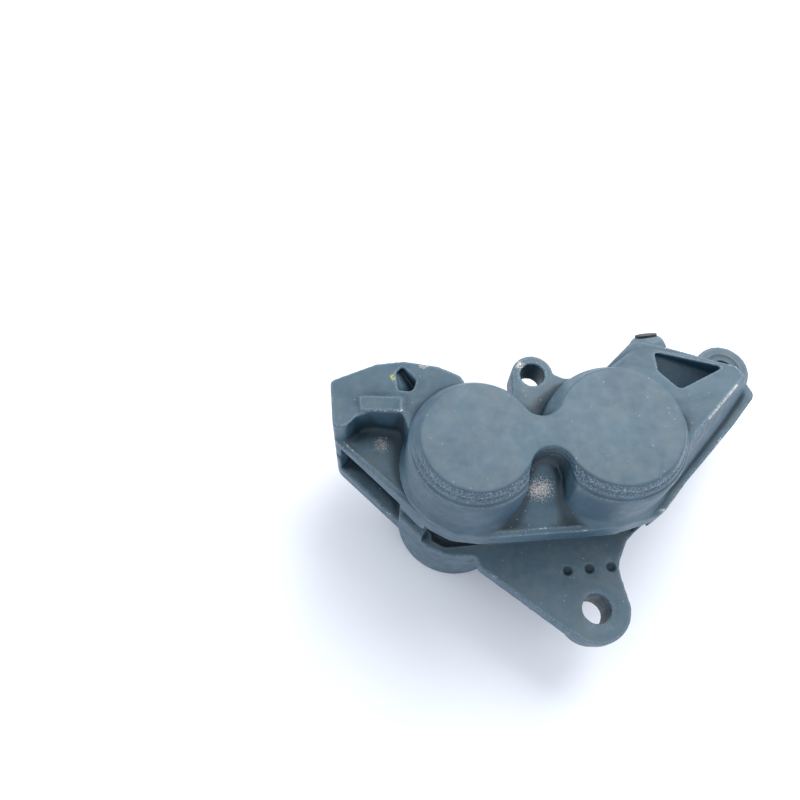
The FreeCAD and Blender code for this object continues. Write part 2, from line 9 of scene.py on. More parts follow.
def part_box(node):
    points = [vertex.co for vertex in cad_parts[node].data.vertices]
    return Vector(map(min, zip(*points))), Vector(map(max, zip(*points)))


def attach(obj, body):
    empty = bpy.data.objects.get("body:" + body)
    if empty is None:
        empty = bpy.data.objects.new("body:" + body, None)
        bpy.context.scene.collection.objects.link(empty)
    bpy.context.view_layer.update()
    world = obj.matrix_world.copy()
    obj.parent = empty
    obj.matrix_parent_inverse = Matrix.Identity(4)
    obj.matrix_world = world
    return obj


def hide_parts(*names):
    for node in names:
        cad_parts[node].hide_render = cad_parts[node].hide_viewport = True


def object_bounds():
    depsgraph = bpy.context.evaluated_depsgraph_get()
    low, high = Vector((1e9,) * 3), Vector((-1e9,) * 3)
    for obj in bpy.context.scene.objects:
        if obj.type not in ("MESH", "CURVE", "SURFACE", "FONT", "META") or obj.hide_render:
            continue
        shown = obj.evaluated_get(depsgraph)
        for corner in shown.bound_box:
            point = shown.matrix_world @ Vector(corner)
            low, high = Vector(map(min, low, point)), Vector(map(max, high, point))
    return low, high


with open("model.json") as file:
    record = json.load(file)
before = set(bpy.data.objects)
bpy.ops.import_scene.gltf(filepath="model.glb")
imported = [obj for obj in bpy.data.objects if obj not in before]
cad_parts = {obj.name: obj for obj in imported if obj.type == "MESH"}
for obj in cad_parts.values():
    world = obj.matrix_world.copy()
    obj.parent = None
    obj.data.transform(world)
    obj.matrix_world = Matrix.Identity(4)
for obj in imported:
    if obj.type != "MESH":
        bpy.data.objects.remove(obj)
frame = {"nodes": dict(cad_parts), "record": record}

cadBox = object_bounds()
mm = 0.001
scene = bpy.context.scene

# camera

camera = {
    "place": (-0.0824, -0.0403, 0.3142),
    "forward": (0.0587, 0.3940, -0.9172),
    "right": (0.9955, -0.0920, 0.0241),
    "lens": 36.63,
    "sensor": 36.0,
}


def addCamera(values):
    data = bpy.data.cameras.new("camera")
    data.lens = values["lens"]
    data.sensor_width = values["sensor"]
    data.clip_start = 0.01
    data.clip_end = 30
    item = bpy.data.objects.new("camera", data)
    scene.collection.objects.link(item)
    back = -Vector(values["forward"]).normalized()
    right = Vector(values["right"])
    right = (right - back * right.dot(back)).normalized()
    turn = Matrix((right, back.cross(right), back)).transposed().to_4x4()
    item.matrix_world = Matrix.Translation(values["place"]) @ turn
    scene.camera = item


addCamera(camera)
print("camera placed")

# node helpers


def linear(hexColour):
    # sRGB to linear: a straight line near black, a 2.4 power above it
    parts = [int(hexColour[i:i + 2], 16) / 255 for i in (1, 3, 5)]
    return tuple(p / 12.92 if p <= 0.04045 else ((p + 0.055) / 1.055) ** 2.4 for p in parts) + (1.0,)


def newMaterial(name):
    material = bpy.data.materials.new(name)
    material.use_nodes = True
    tree = material.node_tree
    tree.nodes.clear()
    output = tree.nodes.new("ShaderNodeOutputMaterial")
    return material, tree, output


def addNode(tree, kind, sockets=None, **settings):
    # sockets: socket name or number -> a value, or another node's output
    node = tree.nodes.new("ShaderNode" + kind)
    for key, value in settings.items():
        setattr(node, key, value)
    for key, value in (sockets or {}).items():
        if isinstance(value, bpy.types.NodeSocket):
            tree.links.new(value, node.inputs[key])
        else:
            node.inputs[key].default_value = value
    return node


def noise(tree, place, sizeMm, detail=3.0, roughness=0.55, distortion=0.0):
    # one noise blob is about sizeMm across
    node = addNode(tree, "TexNoise", {
        "Vector": place, "Scale": 1 / (sizeMm * mm), "Detail": detail,
        "Roughness": roughness, "Distortion": distortion,
    })
    return node.outputs["Fac"]


def ramp(tree, value, low, high):
    # 0 below low, 1 above high, smooth between
    node = addNode(tree, "MapRange", {
        "Value": value, "From Min": low, "From Max": high,
    }, interpolation_type="SMOOTHSTEP", clamp=True)
    return node.outputs["Result"]


def mathNode(tree, operation, first, second, clamp=False, third=0.5):
    node = addNode(tree, "Math", {0: first, 1: second, 2: third}, operation=operation, use_clamp=clamp)
    return node.outputs[0]


def mixColour(tree, share, first, second):
    node = addNode(tree, "Mix", {0: share, 6: first, 7: second}, data_type="RGBA")
    return node.outputs[2]


def objectPlace(tree):
    return addNode(tree, "TexCoord").outputs["Object"]


def attribute(tree, name):
    return addNode(tree, "Attribute", attribute_name=name).outputs["Fac"]


def bump(tree, layers):
    # layers: (height, depth in mm), each stacked on the one before
    normal = None
    for height, depthMm in layers:
        sockets = {"Height": height, "Strength": 1.0, "Distance": depthMm * mm}
        if normal is not None:
            sockets["Normal"] = normal
        normal = addNode(tree, "Bump", sockets).outputs["Normal"]
    return normal


# Slate paint on the cast halves: old satin enamel, sprayed over sand-cast aluminium. It looks soft and
# grainy, dusty and lightened by painted sheen where it faces up, darkened by painted shade in the hollows,
# pale along its edges with worn paint and painted highlight, and broken to pale metal where it was knocked.

castPaint = {
    "paint": "#3a596a",
    "paintDeep": "#28495c",
    # dust colour, which also serves as a painted sheen on upward faces
    "dustAndSheen": "#5d6c72",
    # grime colour, which also serves as painted shade in the hollows
    "grimeAndShade": "#03222f",
    # worn paint colour, which also serves as a painted highlight along edges
    "wornPaintAndHighlight": "#8496a4",
    "bareMetal": "#b9b0a2",
    "bareWarm": "#a98f78",
    "freshMetal": "#dfe2e2",
    "speck": "#9aa9b1",
    "dab": "#b9bf52",
    "sandGrainMm": 0.55,
    "sandDepthMm": 0.05,
    "peelMm": 2.6,
    "peelDepthMm": 0.06,
    "chipMm": 0.55,
    "speckMm": 0.7,
    "patchMm": 19,
    "dustMm": 9,
    "grimeMm": 5,
    "chippedAreaMm": 11,
    "glossMm": 4,
    "deepShade": 0.9,
    "grimeShade": 0.35,
    "edgeShade": 0.45,
    "fringeShade": 0.6,
    "speckShade": 0.6,
    "dustAndSheenShade": (0.22, 0.6),  # least, and how much the patches add
    "edgeChips": (0.86, 0.37),  # how high the grain must reach to chip, and how far wear lowers that
    "rubChips": (0.80, 0.34),
    "chipDepthMm": 0.05,
    "capQuiet": 0.72,
    "roughness": (0.40, 0.62),
    "dustRoughness": 0.22,
}


def makeCastPaint(values):
    material, tree, output = newMaterial("slatePaintOnCastAluminium")
    place = objectPlace(tree)
    edge = attribute(tree, "edge")
    hollow = attribute(tree, "hollow")
    rubbed = attribute(tree, "rubbed")
    dabbed = attribute(tree, "dabbed")
    turned = attribute(tree, "turned")

    # paint colour: two blues in slow patches; what faces up is lightened by dust and by a painted sheen
    # standing in for light from above
    patches = ramp(tree, noise(tree, place, values["patchMm"], 5, 0.6), 0.38, 0.62)
    colour = mixColour(tree, patches, linear(values["paint"]), linear(values["paintDeep"]))
    normal = addNode(tree, "SeparateXYZ", {0: addNode(tree, "TexCoord").outputs["Normal"]})
    upward = ramp(tree, normal.outputs["Z"], 0.35, 1.0)
    dustPatch = ramp(tree, noise(tree, place, values["dustMm"], 6, 0.65), 0.3, 0.75)
    least, spread = values["dustAndSheenShade"]
    dustAndSheen = mathNode(tree, "MULTIPLY", upward, mathNode(tree, "MULTIPLY_ADD", dustPatch, spread, third=least))
    colour = mixColour(tree, dustAndSheen, colour, linear(values["dustAndSheen"]))
    # painted shade: the paint darkens where the skin lies under its smoothed self
    hollowShade = mathNode(tree, "MULTIPLY", attribute(tree, "hollowShade"), values["deepShade"])
    colour = mixColour(tree, hollowShade, colour, linear(values["grimeAndShade"]))
    # grime together with painted shade darkens the creases
    grimePatch = ramp(tree, noise(tree, place, values["grimeMm"], 5, 0.6), 0.25, 0.7)
    grimeAndShade = mathNode(tree, "MULTIPLY", ramp(tree, hollow, 0.10, 0.75), grimePatch)
    grimeAndShade = mathNode(tree, "MULTIPLY", grimeAndShade, values["grimeShade"])
    colour = mixColour(tree, grimeAndShade, colour, linear(values["grimeAndShade"]))

    # pale specks of dust and overspray
    speckCell = addNode(tree, "TexVoronoi", {
        "Vector": place, "Scale": 1 / (values["speckMm"] * 3 * mm), "Randomness": 1.0,
    }, feature="F1")
    speckPick = ramp(tree, speckCell.outputs["Color"], 0.66, 0.68)
    speckDot = mathNode(tree, "SUBTRACT", 1.0, ramp(tree, speckCell.outputs["Distance"], 0.06, 0.14))
    specks = mathNode(tree, "MULTIPLY", speckPick, speckDot)
    specks = mathNode(tree, "MULTIPLY", specks, values["speckShade"])
    colour = mixColour(tree, specks, colour, linear(values["speck"]))

    # wear: fine noise breaks the paint along edges and in the rubbed places; the pale line of worn paint on
    # edges is also a painted highlight
    fine = noise(tree, place, values["chipMm"], 8, 0.72)
    finer = noise(tree, place, values["chipMm"] * 0.42, 5, 0.7)
    broad = noise(tree, place, values["chippedAreaMm"], 4, 0.6)
    halfFiner = mathNode(tree, "MULTIPLY", finer, 0.5)
    grain = mathNode(tree, "ADD", halfFiner, mathNode(tree, "MULTIPLY", fine, 0.5))
    cast = mathNode(tree, "SUBTRACT", 1.0, turned, True)
    edge = mathNode(tree, "MULTIPLY", edge, cast)
    wornAndHighlight = mathNode(tree, "MULTIPLY", ramp(tree, edge, 0.3, 0.95), ramp(tree, fine, 0.40, 0.62))
    wornAndHighlight = mathNode(tree, "MULTIPLY", wornAndHighlight, values["edgeShade"])
    colour = mixColour(tree, wornAndHighlight, colour, linear(values["wornPaintAndHighlight"]))
    fringe = mathNode(tree, "MULTIPLY", attribute(tree, "fringe"), cast)
    fringeBreak = mathNode(tree, "MULTIPLY", fringe, ramp(tree, fine, 0.51, 0.58))
    fringeBreak = mathNode(tree, "MULTIPLY", fringeBreak, values["fringeShade"])
    colour = mixColour(tree, fringeBreak, colour, linear(values["speck"]))
    edgeBreak = mathNode(tree, "MULTIPLY", edge, ramp(tree, broad, 0.42, 0.66))
    hold, give = values["edgeChips"]
    edgeLevel = mathNode(tree, "SUBTRACT", hold, mathNode(tree, "MULTIPLY", edgeBreak, give))
    hold, give = values["rubChips"]
    rubLevel = mathNode(tree, "SUBTRACT", hold, mathNode(tree, "MULTIPLY", rubbed, give))
    level = mathNode(tree, "MINIMUM", edgeLevel, rubLevel)
    over = mathNode(tree, "SUBTRACT", grain, level)
    scratch = mathNode(tree, "MULTIPLY", attribute(tree, "scratched"), ramp(tree, fine, 0.40, 0.52))
    bare = mathNode(tree, "MAXIMUM", ramp(tree, over, 0.0, 0.035), scratch)
    warm = mathNode(tree, "SUBTRACT", ramp(tree, rubbed, 0.15, 0.8), attribute(tree, "scratched"), True)
    metal = mixColour(tree, warm, linear(values["bareMetal"]), linear(values["bareWarm"]))
    metal = mixColour(tree, ramp(tree, finer, 0.4, 0.62), metal, linear(values["freshMetal"]))
    metal = mixColour(tree, attribute(tree, "scratched"), metal, linear(values["freshMetal"]))
    colour = mixColour(tree, bare, colour, metal)
    dab = mathNode(tree, "MULTIPLY", ramp(tree, dabbed, 0.3, 0.7), ramp(tree, fine, 0.44, 0.56))
    colour = mixColour(tree, dab, colour, linear(values["dab"]))

    # roughness: satin paint, rougher where dusty
    low, high = values["roughness"]
    rough = addNode(tree, "MapRange", {
        "Value": noise(tree, place, values["glossMm"], 5, 0.6), "From Min": 0.3, "From Max": 0.7,
        "To Min": low, "To Max": high,
    }).outputs["Result"]
    rough = mathNode(tree, "ADD", rough, mathNode(tree, "MULTIPLY", dustAndSheen, values["dustRoughness"]), True)

    # relief: sand-cast grain and paint's orange peel, quieter on the turned caps
    quiet = mathNode(tree, "SUBTRACT", 1.0, mathNode(tree, "MULTIPLY", turned, values["capQuiet"]))
    sand = mathNode(tree, "MULTIPLY", noise(tree, place, values["sandGrainMm"], 6, 0.7), quiet)
    peel = mathNode(tree, "MULTIPLY", noise(tree, place, values["peelMm"], 4, 0.5), quiet)
    chipEdge = mathNode(tree, "SUBTRACT", 1.0, bare)
    normalOut = bump(tree, [
        (peel, values["peelDepthMm"]), (sand, values["sandDepthMm"]), (chipEdge, values["chipDepthMm"]),
    ])
    shader = addNode(tree, "BsdfPrincipled", {
        "Base Color": colour, "Roughness": rough, "Metallic": mathNode(tree, "MULTIPLY", bare, 0.55),
        "Normal": normalOut, "IOR": 1.5, "Specular IOR Level": 0.5,
        "Coat Weight": 0.12, "Coat Roughness": 0.35,
    })
    tree.links.new(shader.outputs[0], output.inputs["Surface"])
    return material


# Hard chrome, ground and polished on steel: a bright mirror, with brown varnish left by old brake fluid.


def makeChrome(values):
    material, tree, output = newMaterial("hardChromeOnSteel")
    place = objectPlace(tree)
    stainMask = ramp(tree, noise(tree, place, 7, 6, 0.66, 0.4), 0.46, 0.66)
    streak = noise(tree, addNode(tree, "Mapping", {
        "Vector": place, "Scale": (1.0, 1.0, 14.0),
    }).outputs[0], 1.2, 3)
    stain = mathNode(tree, "MULTIPLY", stainMask, ramp(tree, streak, 0.3, 0.6))
    colour = mixColour(tree, stain, linear(values["chrome"]), linear(values["stain"]))
    rough = addNode(tree, "MapRange", {
        "Value": stain, "To Min": values["polish"], "To Max": 0.5,
    }).outputs["Result"]
    shader = addNode(tree, "BsdfPrincipled", {
        "Base Color": colour, "Roughness": rough,
        "Metallic": mathNode(tree, "SUBTRACT", 1.0, mathNode(tree, "MULTIPLY", stain, 0.5)),
        "Normal": bump(tree, [(streak, 0.004), (stainMask, 0.01)]),
    })
    tree.links.new(shader.outputs[0], output.inputs["Surface"])
    return material


# Moulded nitrile rubber: near black and low in gloss, greyer where it has bloomed or holds dust.


def makeRubber(name, values):
    material, tree, output = newMaterial(name)
    place = objectPlace(tree)
    cloud = ramp(tree, noise(tree, place, values["cloudMm"], 5, 0.6), 0.35, 0.7)
    colour = mixColour(tree, cloud, linear(values["rubber"]), linear(values["bloom"]))
    rough = addNode(tree, "MapRange", {
        "Value": cloud, "To Min": values["roughness"], "To Max": values["roughness"] + 0.18,
    }).outputs["Result"]
    shader = addNode(tree, "BsdfPrincipled", {
        "Base Color": colour, "Roughness": rough, "IOR": 1.52,
        "Normal": bump(tree, [(noise(tree, place, values["grainMm"], 4, 0.6), values["grainDepthMm"])]),
    })
    tree.links.new(shader.outputs[0], output.inputs["Surface"])
    return material


# Steel parts, black oxided, zinc plated or rolled: metal with a fine grain that spreads the highlights.


def makeSteel(name, values):
    material, tree, output = newMaterial(name)
    place = objectPlace(tree)
    brushed = noise(tree, addNode(tree, "Mapping", {
        "Vector": place, "Scale": values["brush"],
    }).outputs[0], values["lineMm"], 4, 0.65)
    cloud = ramp(tree, noise(tree, place, 5, 5, 0.6), 0.38, 0.7)
    colour = mixColour(tree, cloud, linear(values["colour"]), linear(values["tint"]))
    rough = addNode(tree, "MapRange", {
        "Value": brushed, "From Min": 0.3, "From Max": 0.7,
        "To Min": values["roughness"], "To Max": values["roughness"] + 0.2,
    }).outputs["Result"]
    shader = addNode(tree, "BsdfPrincipled", {
        "Base Color": colour, "Roughness": rough, "Metallic": values["metallic"],
        "Normal": bump(tree, [(brushed, values["lineDepthMm"]), (noise(tree, place, 0.5, 3), 0.006)]),
    })
    tree.links.new(shader.outputs[0], output.inputs["Surface"])
    return material


finishes = {
    "chrome": {"chrome": "#c9c8c4", "stain": "#6b5440", "polish": 0.10},
    "dustSeal": {
        "rubber": "#191a1b", "bloom": "#34332f", "cloudMm": 2.5, "roughness": 0.62,
        "grainMm": 0.35, "grainDepthMm": 0.02,
    },
    "pressureSeal": {
        "rubber": "#121314", "bloom": "#1d1e20", "cloudMm": 3.0, "roughness": 0.4,
        "grainMm": 0.5, "grainDepthMm": 0.008,
    },
    "oRing": {
        "rubber": "#101112", "bloom": "#1f2022", "cloudMm": 1.5, "roughness": 0.34,
        "grainMm": 0.4, "grainDepthMm": 0.006,
    },
    "plug": {
        "rubber": "#0e0f10", "bloom": "#26282a", "cloudMm": 1.8, "roughness": 0.55,
        "grainMm": 0.3, "grainDepthMm": 0.015,
    },
    "bolt": {
        "colour": "#2b2c2f", "tint": "#3f3d3b", "roughness": 0.3, "metallic": 0.85,
        "brush": (1.0, 1.0, 9.0), "lineMm": 0.8, "lineDepthMm": 0.012,
    },
    "guide": {
        "colour": "#b7b8b8", "tint": "#8f8c86", "roughness": 0.24, "metallic": 1.0,
        "brush": (1.0, 12.0, 1.0), "lineMm": 0.9, "lineDepthMm": 0.006,
    },
    "screw": {
        "colour": "#b9a96a", "tint": "#a98d6f", "roughness": 0.28, "metallic": 1.0,
        "brush": (1.0, 1.0, 1.0), "lineMm": 0.7, "lineDepthMm": 0.006,
    },
}

castMaterial = makeCastPaint(castPaint)
materialBySlot = {
    "cast_housing": castMaterial,
    "piston_chrome": makeChrome(finishes["chrome"]),
    "dust_rubber": makeRubber("dustyNitrileRubber", finishes["dustSeal"]),
    "seal_rubber": makeRubber("mouldedNitrileRubber", finishes["pressureSeal"]),
    "o_ring_rubber": makeRubber("smoothNitrileRubber", finishes["oRing"]),
    "plug_rubber": makeRubber("mattBlackRubber", finishes["plug"]),
    "bolt_steel": makeSteel("blackOxideSteel", finishes["bolt"]),
    "stainless_guide": makeSteel("rolledStainlessSteel", finishes["guide"]),
    "plated_screw": makeSteel("yellowZincSteel", finishes["screw"]),
}
print("materials made:", len(materialBySlot))

slotOf = {part["node"]: part["material_slot"] for part in frame["record"]["subparts"]}
for nodeName, node in frame["nodes"].items():
    material = materialBySlot[slotOf[nodeName]]
    if not node.material_slots:
        node.data.materials.append(material)
    for slot in node.material_slots:
        slot.material = material
print("CAD nodes given their finishes:", len(frame["nodes"]))

# Cast skins of the two halves: each CAD solid as a fine even mesh, its hollows filled and its edges
# rounded as sand casting leaves them, with what is machined held where it is.


def middle(nodeName):
    low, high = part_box(nodeName)
    return [(low[i] + high[i]) / 2 for i in range(3)]


def mountPlace(name):
    mount = [m for m in frame["record"]["mounts"] if m["name"] == name][0]
    return mount["pos_m"]


smallAxis = middle("outer_small_piston")
largeAxis = middle("outer_large_piston")
partingZ = (middle("outer_small_piston")[2] + middle("inner_small_piston")[2]) / 2
capTop = cadBox[1][2]

skin = {
    "mergeMm": 0.002,
    "voxelMm": 0.5,
    "trianglesMost": 190000,
    "fillSteps": 9,
    "softSteps": 60,
    "fillLimitMm": 0.8,
    "softLimitMm": 4.5,
    "roundLimitMm": 0.25,
    "deepSteps": 110,
    "deepMm": 0.45,
    "deepFromMm": 0.08,
    "keepFadeMm": 0.8,
    "capBandMm": 0.5,
    "turnMm": 0.02,
    "turnSteps": 3,
    "hollowSteps": 12,
}

# what is machined and stays crisp: centre x and y in metres, radius in mm, and its lowest and highest
# z in mm from the parting plane
boltNames = [n for n in frame["nodes"] if n.startswith("bridge_bolt_")]
machinedRounds = [
    (smallAxis[0], smallAxis[1], 18.4, -44.6, 44.6),
    (largeAxis[0], largeAxis[1], 20.4, -44.6, 44.6),
    (mountPlace("lower_mount_hole")[0], mountPlace("lower_mount_hole")[1], 6.0, -30, 0),
    (mountPlace("upper_mount_hole")[0], mountPlace("upper_mount_hole")[1], 4.9, 0, 50),
    (mountPlace("hose_port")[0], mountPlace("hose_port")[1], 8.2, -30, -13),
]
for boltName in boltNames:
    spot = middle(boltName)
    machinedRounds.append((spot[0], spot[1], 7.4, -40, 14.5))

dimples = {"spacingMm": 8.1, "aboveHoleMm": 14.5, "reachMm": 2.7}
hole = mountPlace("lower_mount_hole")
for across in (-1, 0, 1):
    dimpleX = hole[0] + across * dimples["spacingMm"] * mm
    dimpleY = hole[1] + dimples["aboveHoleMm"] * mm
    machinedRounds.append((dimpleX, dimpleY, dimples["reachMm"], -13, -9.4))

# where cast hollows sweep widely, and where edges stay sharp, in mm as below: x, y, z, reach
softPlaces = [
    (-31.0, 12.0, 18.0, 9.0), (-21.0, 6.0, 18.0, 7.0), (21.5, -11.0, 32.0, 9.0),
    (22.0, -17.0, 24.0, 8.0), (33.0, 21.0, 30.0, 8.0), (16.0, 22.0, 28.0, 6.0),
]
sharpPlaces = [
    (-29.0, 21.5, 30.0, 8.5), (-19.5, 30.0, 31.0, 5.0), (78.0, 30.0, 24.0, 8.0),
    (90.0, 28.0, 26.0, 7.0), (76.0, 20.0, 30.0, 6.0),
]

# paint rubbed through, in mm from the small bore's axis at the parting plane: x, y, z, reach
rubbedPlaces = [
    (21.0, -13.5, 31.0, 6.0), (-29.6, 12.0, 15.0, 4.0), (20.6, 31.4, 33.0, 2.6),
    (99.5, 12.5, 24.0, 4.0), (106.5, 20.0, 6.0, 3.6), (81.0, -4.5, 12.0, 4.0),
    (-12.8, 34.4, 32.4, 2.6), (119.3, 29.9, -6.0, 3.0), (9.0, -44.0, -10.2, 2.6),
]
dabPlaces = [(-25.0, 31.8, 29.0, 1.7)]

# a pocket open to the sky, where the painted hollow shade is left out
shadeFreePlaces = [(80.0, 29.0, 14.0, 9.5), (89.0, 28.0, 18.0, 6.0)]

# the cast lip that runs just inside the outer half's front edge, in mm
edgeLip = {
    "line": [(-44.5, 14.5), (-15.6, -18.5), (-8.5, -23.2), (2.0, -25.4), (48.0, -26.0), (64.0, -22.5)],
    "insetMm": 1.7,
    "halfWidthMm": 0.5,
    "heightMm": 0.45,
    "betweenMm": (4, 30),
}

# fine ledges left round the shoulders' fronts by the pattern, in mm below the caps
shoulderLedges = {"levelsMm": [3.4, 5.8], "halfWidthMm": 0.45, "depthMm": 0.3}

# the band of pale specks on those shoulders, in mm below the caps
speckBand = {"levelMm": 2.2, "reachMm": 2.2, "capMm": 0.6}

# scratches to bare metal, as pairs of ends in mm and a half width
scratches = [
    ((79.5, 3.6, 39.7), (95.5, 17.8, 32.6), 0.5), ((-3.0, -19.0, 26.0), (-1.0, -21.6, 21.0), 0.35),
]


def fromSmallBore(place):
    return (smallAxis[0] + place[0] * mm, smallAxis[1] + place[1] * mm, partingZ + place[2] * mm)


def meshArrays(mesh):
    points = np.empty(len(mesh.vertices) * 3)
    mesh.vertices.foreach_get("co", points)
    edges = np.empty(len(mesh.edges) * 2, dtype=np.int64)
    mesh.edges.foreach_get("vertices", edges)
    return points.reshape(-1, 3), edges.reshape(-1, 2)


def neighbourMean(values, edges, count):
    # the average of each vertex's neighbours along its edges
    total = np.zeros_like(values)
    for axis in range(values.shape[1]):
        column = values[:, axis]
        total[:, axis] = np.bincount(edges[:, 0], column[edges[:, 1]], len(values))
        total[:, axis] += np.bincount(edges[:, 1], column[edges[:, 0]], len(values))
    return total / count[:, None]


def vertexNormals(mesh, points):
    mesh.vertices.foreach_set("co", points.ravel())
    mesh.update()
    normals = np.empty(len(points) * 3)
    mesh.vertex_normals.foreach_get("vector", normals)
    return normals.reshape(-1, 3)


def castShare(points):
    # 1 where the skin is as cast, falling to 0 in and near what is machined
    fade = skin["keepFadeMm"] * mm
    share = np.ones(len(points))
    height = points[:, 2] - partingZ
    for x, y, radiusMm, lowMm, highMm in machinedRounds:
        away = np.hypot(points[:, 0] - x, points[:, 1] - y) - radiusMm * mm
        past = np.maximum(lowMm * mm - height, height - highMm * mm)
        share = np.minimum(share, np.clip(np.maximum(away, past) / fade, 0, 1))
    share = np.minimum(share, np.clip((np.abs(height) - 0.3 * mm) / fade, 0, 1))
    capGap = capTop - points[:, 2] - skin["capBandMm"] * mm
    share = np.minimum(share, np.clip(capGap / fade, 0.0, 1))
    slotGap = np.abs(height) - 14.4 * mm
    inSlot = (points[:, 1] > smallAxis[1] - 16 * mm) & (points[:, 0] > smallAxis[0] - 20.4 * mm)
    inSlot &= points[:, 0] < smallAxis[0] + 67.9 * mm
    return np.where(inSlot, np.minimum(share, np.clip(slotGap / fade, 0, 1)), share)


def modified(item):
    graph = bpy.context.evaluated_depsgraph_get()
    mesh = bpy.data.meshes.new_from_object(item.evaluated_get(graph))
    item.modifiers.clear()
    item.data = mesh
    return mesh


def storeShare(mesh, name, values):
    layer = mesh.attributes.new(name, "FLOAT", "POINT")
    layer.data.foreach_set("value", values.astype(np.float32))


def placesShare(points, places):
    # a soft blob round each place: one minus a quarter of (distance over reach) squared, to the power 1.7
    share = np.zeros(len(points))
    for place in places:
        centre = np.array(fromSmallBore(place))
        far = ((points - centre) ** 2).sum(axis=1) / (place[3] * mm) ** 2
        share = np.maximum(share, np.clip(1 - far / 4, 0, 1) ** 1.7)
    return share


def scratchShare(points):
    # 1 along each straight scratch, fading over its half width
    share = np.zeros(len(points))
    for start, end, halfMm in scratches:
        a, b = np.array(fromSmallBore(start)), np.array(fromSmallBore(end))
        along = np.clip((points - a) @ (b - a) / ((b - a) @ (b - a)), 0, 1)
        gap = np.linalg.norm(points - a - along[:, None] * (b - a), axis=1)
        share = np.maximum(share, np.clip(1.6 - gap / (halfMm * mm), 0, 1))
    return share


def frontShare(points, fromMm):
    # 0 behind fromMm from the bores' axes, rising to 1 at 16 mm in front of that
    return np.clip((smallAxis[1] + fromMm * mm - points[:, 1]) / (16 * mm), 0, 1)


def fringeShare(points):
    # 1.4 less the distance from the band's level over its reach, just under the turned caps
    drop = (capTop - points[:, 2]) / mm
    band = np.clip(1.4 - np.abs(drop - speckBand["levelMm"]) / speckBand["reachMm"], 0, 1)
    return band * frontShare(points, 4) * (drop > speckBand["capMm"])


def raiseLip(points, normals):
    # height times exp(-((gap - inset) / half width) squared), where the skin faces up
    lip = edgeLip
    line = [np.array(fromSmallBore((x, y, 0)))[:2] for x, y in lip["line"]]
    gap = np.full(len(points), 1.0)
    for a, b in zip(line[:-1], line[1:]):
        along = np.clip((points[:, :2] - a) @ (b - a) / ((b - a) @ (b - a)), 0, 1)
        gap = np.minimum(gap, np.hypot(*(points[:, :2] - a - along[:, None] * (b - a)).T))
    rise = np.exp(-((gap / mm - lip["insetMm"]) / lip["halfWidthMm"]) ** 2)
    low, high = lip["betweenMm"]
    upward = np.clip((normals[:, 2] - 0.6) * 4, 0, 1) * (points[:, 2] > partingZ + low * mm)
    points[:, 2] += lip["heightMm"] * mm * rise * upward * (points[:, 2] < partingZ + high * mm)


def cutLedges(points, normals):
    # minus depth times exp(-((drop - level) / half width) squared), into the shoulders under the caps
    drop = (capTop - points[:, 2]) / mm
    steep = np.clip(np.hypot(normals[:, 0], normals[:, 1]) * 2 - 0.6, 0, 1)
    front = frontShare(points, 8)
    for levelMm in shoulderLedges["levelsMm"]:
        cut = np.exp(-((drop - levelMm) / shoulderLedges["halfWidthMm"]) ** 2)
        points -= normals * (shoulderLedges["depthMm"] * mm * cut * steep * front)[:, None]


def hollowShadeShare(points, normals, edges, count):
    # how far each point lies under the same skin smoothed over several millimetres, used as painted shade in
    # the hollows
    smooth = points.copy()
    for step in range(skin["deepSteps"]):
        smooth = 0.25 * smooth + 0.75 * neighbourMean(smooth, edges, count)
    under = ((smooth - points) * normals).sum(axis=1)
    daylight = 1 - np.clip(placesShare(points, shadeFreePlaces) * 1.6, 0, 1)
    return np.clip((under / mm - skin["deepFromMm"]) / skin["deepMm"], 0, 1) * daylight


def evenMesh(nodeName, pieceName):
    # the CAD mesh merged, then remeshed to an even grid
    work = bmesh.new()
    work.from_mesh(frame["nodes"][nodeName].data)
    bmesh.ops.remove_doubles(work, verts=work.verts, dist=skin["mergeMm"] * mm)
    mesh = bpy.data.meshes.new(pieceName)
    work.to_mesh(mesh)
    work.free()
    item = bpy.data.objects.new(pieceName, mesh)
    scene.collection.objects.link(item)
    remesh = item.modifiers.new("remesh", "REMESH")
    remesh.mode = "VOXEL"
    remesh.voxel_size = skin["voxelMm"] * mm
    return item, modified(item)


def softened(mesh, points, edges, count):
    # each step moves a point towards its neighbours' mean, by a share that its limits bring to 0
    start = points.copy()
    share = castShare(points)
    share *= 1 - 0.75 * np.clip(placesShare(points, sharpPlaces) * 2, 0, 1)
    soft = np.clip(placesShare(points, softPlaces) * 2, 0, 1)
    fillMost = (skin["fillLimitMm"] + soft * (skin["softLimitMm"] - skin["fillLimitMm"])) * mm
    for step in range(skin["fillSteps"] + skin["softSteps"]):
        if step == skin["fillSteps"]:
            share = share * soft
        if step % 8 == 0:
            normals = vertexNormals(mesh, points)
        pull = neighbourMean(points, edges, count) - points
        along = (pull * normals).sum(axis=1)
        moved = np.linalg.norm(points - start, axis=1)
        outer = 0.5 * np.clip(1 - moved / (skin["roundLimitMm"] * mm), 0, 1)
        inner = 0.5 * np.clip(2 - 2 * moved / fillMost, 0, 1)
        points += pull * (np.where(along > 0, inner, outer) * share)[:, None]
    return points


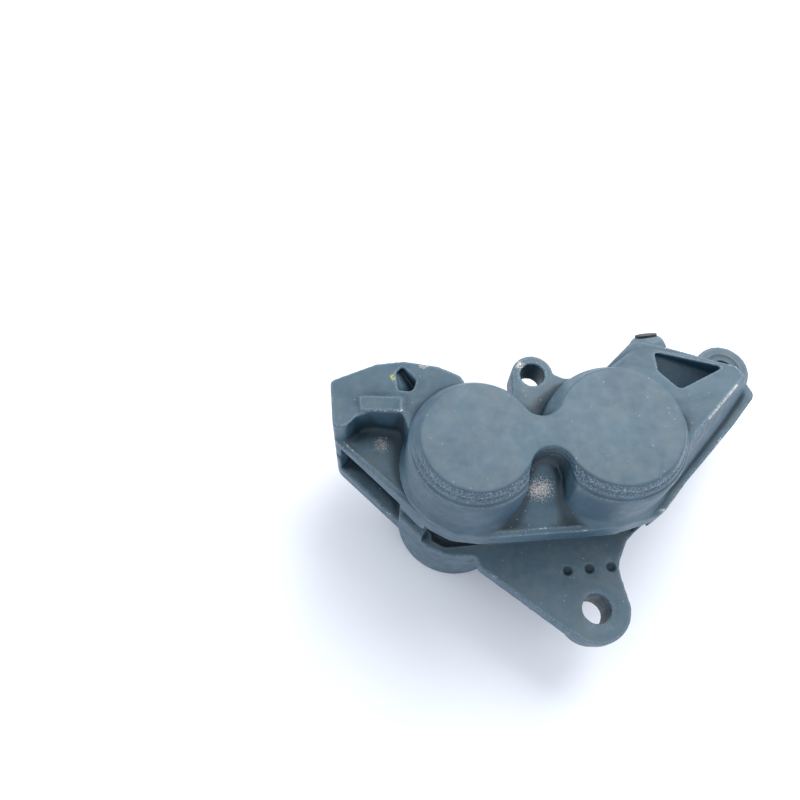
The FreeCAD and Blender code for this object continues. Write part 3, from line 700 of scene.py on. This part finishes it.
def storeWear(mesh, points, edges, count):
    normals = vertexNormals(mesh, points)
    # how sharply the surface turns outwards or inwards, spread over a few neighbours
    pull = neighbourMean(points, edges, count) - points
    turn = -(pull * normals).sum(axis=1)[:, None] / (skin["turnMm"] * mm)
    for step in range(skin["turnSteps"]):
        turn = 0.4 * turn + 0.6 * neighbourMean(turn, edges, count)
    hollow = np.clip(-turn, 0, 1)
    for step in range(skin["hollowSteps"]):
        hollow = 0.3 * hollow + 0.7 * neighbourMean(hollow, edges, count)
    storeShare(mesh, "edge", np.clip(turn[:, 0], 0, 1))
    storeShare(mesh, "hollow", np.clip(hollow[:, 0] * 2.0, 0, 1))
    storeShare(mesh, "rubbed", placesShare(points, rubbedPlaces))
    storeShare(mesh, "scratched", scratchShare(points))
    # painted shade for the hollows
    storeShare(mesh, "hollowShade", hollowShadeShare(points, normals, edges, count))
    storeShare(mesh, "fringe", fringeShare(points))
    storeShare(mesh, "dabbed", placesShare(points, dabPlaces))
    storeShare(mesh, "turned", (capTop - points[:, 2] < speckBand["capMm"] * mm).astype(float))


def makeSkin(nodeName, pieceName):
    item, mesh = evenMesh(nodeName, pieceName)
    points, edges = meshArrays(mesh)
    count = np.bincount(edges.ravel(), minlength=len(points)).astype(float)
    points = softened(mesh, points, edges, count)
    normals = vertexNormals(mesh, points)
    raiseLip(points, normals)
    cutLedges(points, normals)
    storeWear(mesh, points, edges, count)
    triangles = 2 * len(mesh.polygons)
    if triangles > skin["trianglesMost"]:
        thin = item.modifiers.new("thin", "DECIMATE")
        thin.ratio = skin["trianglesMost"] / triangles
        mesh = modified(item)
    mesh.materials.clear()
    mesh.materials.append(castMaterial)
    mesh.polygons.foreach_set("use_smooth", [True] * len(mesh.polygons))
    mesh.update()
    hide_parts(nodeName)
    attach(item, "caliper_body")
    print("skin of", nodeName, "from", triangles, "to", len(mesh.polygons), "faces")


makeSkin("outer_half", "outerHalfSkin")
makeSkin("inner_half", "innerHalfSkin")

# Floor and light: matt paper under a pale sky and one large soft lamp.

studio = {
    "paper": "#f4f6fb",
    "sky": "#eef3fa",
    "skyStrength": 1.1,
    "keyWatts": 8.0,
    "keySize": 0.7,
    "keyPlace": (0.30, 0.55, 0.85),
}
scene.view_settings.view_transform = "Standard"  # plain colours, so the paper stays white


def addLight(name, place, watts, size, target):
    data = bpy.data.lights.new(name, "AREA")
    data.energy = watts
    data.size = size
    item = bpy.data.objects.new(name, data)
    item.location = place
    item.rotation_euler = (Vector(target) - Vector(place)).to_track_quat("-Z", "Y").to_euler()
    scene.collection.objects.link(item)


def addFloor(values):
    low = cadBox[0]
    mesh = bpy.data.meshes.new("floor")
    mesh.from_pydata([(x, y, low[2]) for x, y in ((-4, -4), (4, -4), (4, 4), (-4, 4))], [], [(0, 1, 2, 3)])
    item = bpy.data.objects.new("floor", mesh)
    scene.collection.objects.link(item)
    material, tree, output = newMaterial("mattPaper")
    fibre = noise(tree, objectPlace(tree), 0.8, 4)
    shader = addNode(tree, "BsdfPrincipled", {
        "Base Color": linear(values["paper"]), "Roughness": 0.9,
        "Normal": bump(tree, [(fibre, 0.02)]),
    })
    tree.links.new(shader.outputs[0], output.inputs["Surface"])
    mesh.materials.append(material)


addFloor(studio)
centre = [(cadBox[0][i] + cadBox[1][i]) / 2 for i in range(3)]
addLight("keyLight", studio["keyPlace"], studio["keyWatts"], studio["keySize"], centre)
world = bpy.data.worlds.new("paleStudio")
world.use_nodes = True
world.node_tree.nodes["Background"].inputs[0].default_value = linear(studio["sky"])
world.node_tree.nodes["Background"].inputs[1].default_value = studio["skyStrength"]
scene.world = world
print("stage lit")
